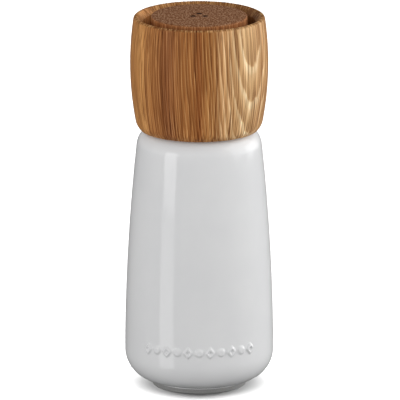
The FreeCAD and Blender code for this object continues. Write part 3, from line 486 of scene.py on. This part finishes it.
def burr_ceramic():
    """Sintered ceramic: hard grit with brown stains from the pepper."""
    f = Finish("sintered_burr_ceramic", IOR=1.6)
    grit = f.noise(f.at, 7.0, 3, 0.7)
    stain = f.rise(f.noise(f.at, 0.45, 4, 0.6), 0.5, 0.75)
    base = f.ramp(grit, (0.3, (0.62, 0.61, 0.58, 1)), (0.7, (0.74, 0.73, 0.70, 1)))
    return f.set(
        Base_Color=f.mix(f.math("MULTIPLY", stain, 0.35), base, rgb(150, 130, 105)),
        Roughness=f.rise(grit, 0.3, 0.7, 0.5, 0.7),
        Normal=f.bump(grit, 0.02),
    )


HEAD_WOODS = (rgb(226, 176, 118), rgb(208, 148, 90), rgb(188, 127, 72), rgb(92, 42, 17))
# Typed and then changed, with the average colours of strips of the head held against the photograph's.
# Besides the oak's own colour round the head they hold painted light and shade. The paler, bluer right side
# from about 20 to 84 degrees is partly the oak's pale figure and partly painted light where the light from
# the right falls. -108 is painted light on the left inner slope of the rim and the recess wall below it,
# -86 is painted shade along the left edge, and 98 is painted shade on the right inner slope of the rim.
HEAD_TONES_AND_PAINTED_LIGHT = (
    (-180, (0.72, 0.70, 0.67)), (-140, (0.90, 0.92, 0.90)), (-108, (1.55, 1.60, 1.70)),
    (-86, (0.84, 0.76, 0.60)), (-62, (1.04, 1.06, 1.00)), (-44, (0.78, 0.71, 0.66)),
    (-28, (0.54, 0.44, 0.44)), (-12, (0.76, 0.69, 0.64)), (-5, (0.80, 0.72, 0.66)),
    (0, (0.56, 0.42, 0.35)), (6, (0.88, 0.86, 0.82)), (13, (0.70, 0.67, 0.65)),
    (20, (1.08, 1.28, 1.64)), (34, (1.14, 1.50, 2.10)), (47, (1.46, 2.16, 3.40)),
    (66, (1.18, 1.54, 2.20)), (84, (0.80, 0.86, 0.90)), (98, (0.40, 0.36, 0.34)),
    (130, (0.60, 0.58, 0.56)), (180, (0.72, 0.70, 0.67)),
)
KNOB_WOODS = (rgb(192, 148, 114), rgb(172, 118, 76), rgb(154, 102, 62), rgb(82, 46, 26))
KNOB_TONES = ((-180, (1.12, 1.05, 0.98)), (0, (1.16, 1.09, 1.00)), (180, (1.12, 1.05, 0.98)))

FINISHES = {
    "stoneware": glazed_stoneware(),
    "oak": oak(
        "oiled_oak", follow=0.8, pith=(-53.0, 43.0), lean=(-0.027, 0.021), ring=0.85, woods=HEAD_WOODS,
        tones_and_painted_light=HEAD_TONES_AND_PAINTED_LIGHT, end=(0.50, 0.43, 0.38, 1), end_share=0.9,
    ),
    "oak_end_grain": oak(
        "smoked_oak", pith=(-52.0, -34.0), lean=(0.01, 0.01), ring=1.0, woods=KNOB_WOODS,
        tones_and_painted_light=KNOB_TONES, end=(0.47, 0.46, 0.50, 1), end_share=0.95, burnt=DIMPLES,
    ),
    "acetal": moulded("natural_acetal", (0.78, 0.77, 0.73, 1), 0.38, (0.86, 0.85, 0.82, 1)),
    "dark_nylon": moulded("dark_glass_nylon", (0.030, 0.031, 0.033, 1), 0.5, (0.075, 0.074, 0.072, 1)),
    "silicone": moulded("grey_silicone", (0.30, 0.30, 0.29, 1), 0.62, (0.36, 0.36, 0.35, 1), 0.006),
    "burr_ceramic": burr_ceramic(),
    "stainless": metal("brushed_stainless", (0.56, 0.56, 0.55, 1), 0.34, (0.6, 0.6, 9.0), 0.003),
    "screw_steel": metal("plated_screw_steel", (0.60, 0.59, 0.56, 1), 0.30, (5.0, 5.0, 5.0), 0.002),
    "spring_steel": metal("drawn_spring_steel", (0.42, 0.42, 0.43, 1), 0.36, (2.0, 2.0, 8.0), 0.003),
    "brass": metal("turned_brass", (0.72, 0.53, 0.25, 1), 0.30, (0.5, 0.5, 8.0), 0.004),
    "fluoropolymer": moulded(
        "white_fluoropolymer", (0.76, 0.76, 0.75, 1), 0.30, (0.84, 0.84, 0.84, 1), 0.004
    ),
}

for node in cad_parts.values():
    for held in node.material_slots:
        held.material = FINISHES[held.material.name].material

for piece, body, node, slot in (
    (stoneware_body, "mill_body", "stoneware_body", "stoneware"),
    (oak_head, "head", "oak_head", "oak"),
    (knob_disc, "knob", "knob_disc", "oak_end_grain"),
    (spring, "mill_body", "thrust_spring", "spring_steel"),
):
    piece.data.materials.append(FINISHES[slot].material)
    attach(piece, body)
    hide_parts(node)

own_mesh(spring)


# ---------------------------------------------------------------- studio


def facing(azimuth, elevation, distance, target):
    """A place round the target, and the turn that looks at it from there."""
    a, e = math.radians(azimuth), math.radians(elevation)
    back = Vector((math.sin(a) * math.cos(e), -math.cos(a) * math.cos(e), math.sin(e)))
    return Vector(target) + distance * back, (-back).to_track_quat("-Z", "Y").to_euler()


def group(name, objects):
    """A collection of objects that a light can be kept to."""
    made = bpy.data.collections.new(name)
    for o in objects:
        made.objects.link(o)
    return made


LIT_MIDDLE = (0, 0, 0.08)  # what the lights face, about halfway up the mill


def softbox(name, azimuth, elevation, distance, size, radiance, onto):
    """A soft rectangular light that lights only the group onto. size is its width and height, and radiance
    how bright its face looks."""
    light = bpy.data.lights.new(name, "AREA")
    light.shape = "RECTANGLE"
    light.size, light.size_y = size
    light.energy = radiance * math.pi * size[0] * size[1]
    lamp = bpy.data.objects.new(name, light)
    lamp.location, lamp.rotation_euler = facing(azimuth, elevation, distance, LIT_MIDDLE)
    lamp.visible_camera = False
    bpy.context.scene.collection.objects.link(lamp)
    lamp.light_linking.receiver_collection = onto


SKY = ((-1.0, 0.24), (-0.15, 0.36), (0.08, 1.14), (0.35, 1.05), (1.0, 0.24))  # (sine of elevation, glow)
BACK_GLOW = 0.5  # how bright the room is behind the object, as a share of the front


def studio_world():
    """The camera sees white behind the object. All other light comes from a room whose glow follows SKY
    and falls to BACK_GLOW behind the object."""
    world = bpy.data.worlds.new("studio")
    bpy.context.scene.world = world
    world.use_nodes = True
    nodes, links = world.node_tree.nodes, world.node_tree.links
    room = nodes["Background"]
    direction = nodes.new("ShaderNodeTexCoord")
    split = nodes.new("ShaderNodeSeparateXYZ")
    height = nodes.new("ShaderNodeMapRange")
    height.inputs["From Min"].default_value = -1.0
    sky = nodes.new("ShaderNodeValToRGB")
    for _ in SKY[2:]:
        sky.color_ramp.elements.new(0.5)
    for element, (sine, glow) in zip(sky.color_ramp.elements, SKY):
        element.position = 0.5 + sine / 2
        element.color = (glow, glow, glow, 1)
    depth = nodes.new("ShaderNodeMapRange")
    for key, value in {"From Min": -0.1, "From Max": 0.5, "To Min": 1.0, "To Max": BACK_GLOW}.items():
        depth.inputs[key].default_value = value
    links.new(direction.outputs["Generated"], split.inputs[0])
    links.new(split.outputs[1], depth.inputs["Value"])
    links.new(depth.outputs[0], room.inputs[1])
    links.new(split.outputs[2], height.inputs["Value"])
    links.new(height.outputs[0], sky.inputs[0])
    links.new(sky.outputs[0], room.inputs[0])
    white = nodes.new("ShaderNodeBackground")
    white.inputs[1].default_value = 1.0
    seen = nodes.new("ShaderNodeLightPath")
    pick = nodes.new("ShaderNodeMixShader")
    links.new(seen.outputs["Is Camera Ray"], pick.inputs[0])
    links.new(room.outputs[0], pick.inputs[1])
    links.new(white.outputs[0], pick.inputs[2])
    links.new(pick.outputs[0], nodes["World Output"].inputs[0])


# The floor as the camera sees it is paler near the mill: a painted pool of light round it.
FLOOR_NEAR, FLOOR_FAR = 45, 100  # mm from the axis, where the camera's tone starts and stops falling
NEAR_TONE, FAR_TONE, UNSEEN_TONE = 0.42, 0.25, 0.08


def studio_floor(radius=3.0, sides=96):
    """A plain table top. It is paler to the camera than to bounced light, so it comes out white without
    lighting the mill from below. To the camera it is paler again near the mill: a painted pool of light
    round the mill that keeps the mill's cast shadow tight."""
    turns = np.linspace(0, 2 * math.pi, sides, endpoint=False)
    ring = [(radius * math.cos(a), radius * math.sin(a), 0) for a in turns]
    floor = add_piece("floor", ring, [tuple(range(sides))])
    paper = Finish("white_paper", Roughness=0.9, Specular_IOR_Level=0.0)
    seen = paper.node("LightPath", {}, "Is Camera Ray")
    away = paper.vector("DISTANCE", paper.at, (0, 0, 0))
    # Paler near the mill: painted light round it, seen by the camera only.
    tone_and_painted_light = paper.rise(away, FLOOR_NEAR, FLOOR_FAR, NEAR_TONE, FAR_TONE)
    shown = paper.node("CombineXYZ", {0: tone_and_painted_light, 1: tone_and_painted_light, 2: tone_and_painted_light})
    paper.set(
        Base_Color=paper.mix(seen, (UNSEEN_TONE, UNSEEN_TONE, UNSEEN_TONE, 1), shown),
        Normal=paper.bump(paper.noise(paper.at, 0.8, 3), 0.02),
    )
    floor.data.materials.append(paper.material)
    floor.visible_glossy = False
    floor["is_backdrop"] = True
    return floor


studio_world()
table = group("table", [studio_floor()])
mill = group("mill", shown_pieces())
softbox("overhead", 0, 90, 2.2, (5.6, 4.6), 6.6, table)
softbox("side_left", -124, 14, 2.4, (1.6, 0.7), 38.0, table)
softbox("side_right", 124, 14, 2.4, (1.6, 0.7), 38.0, table)
softbox("key_right", 94, 24, 2.4, (2.8, 2.4), 1.45, mill)
softbox("edge_right", 118, 8, 2.4, (1.8, 1.2), 1.5, mill)
softbox("strip_left", -52.5, 7, 2.2, (0.9, 1.04), 2.7, mill)
softbox("strip_left_low", -52.5, -19, 2.2, (0.9, 0.92), 1.7, mill)

AIM, ELEVATION, DISTANCE, LENS = (0.00035, 0, 0.0821), 14.5, 5.8, 1198
camera = bpy.data.objects.new("camera", bpy.data.cameras.new("camera"))
camera.data.sensor_width = 36
camera.data.lens = LENS
camera.data.clip_end = 20
camera.location, camera.rotation_euler = facing(0, ELEVATION, DISTANCE, AIM)
bpy.context.scene.collection.objects.link(camera)
bpy.context.scene.camera = camera
bpy.context.scene.view_settings.view_transform = "Standard"
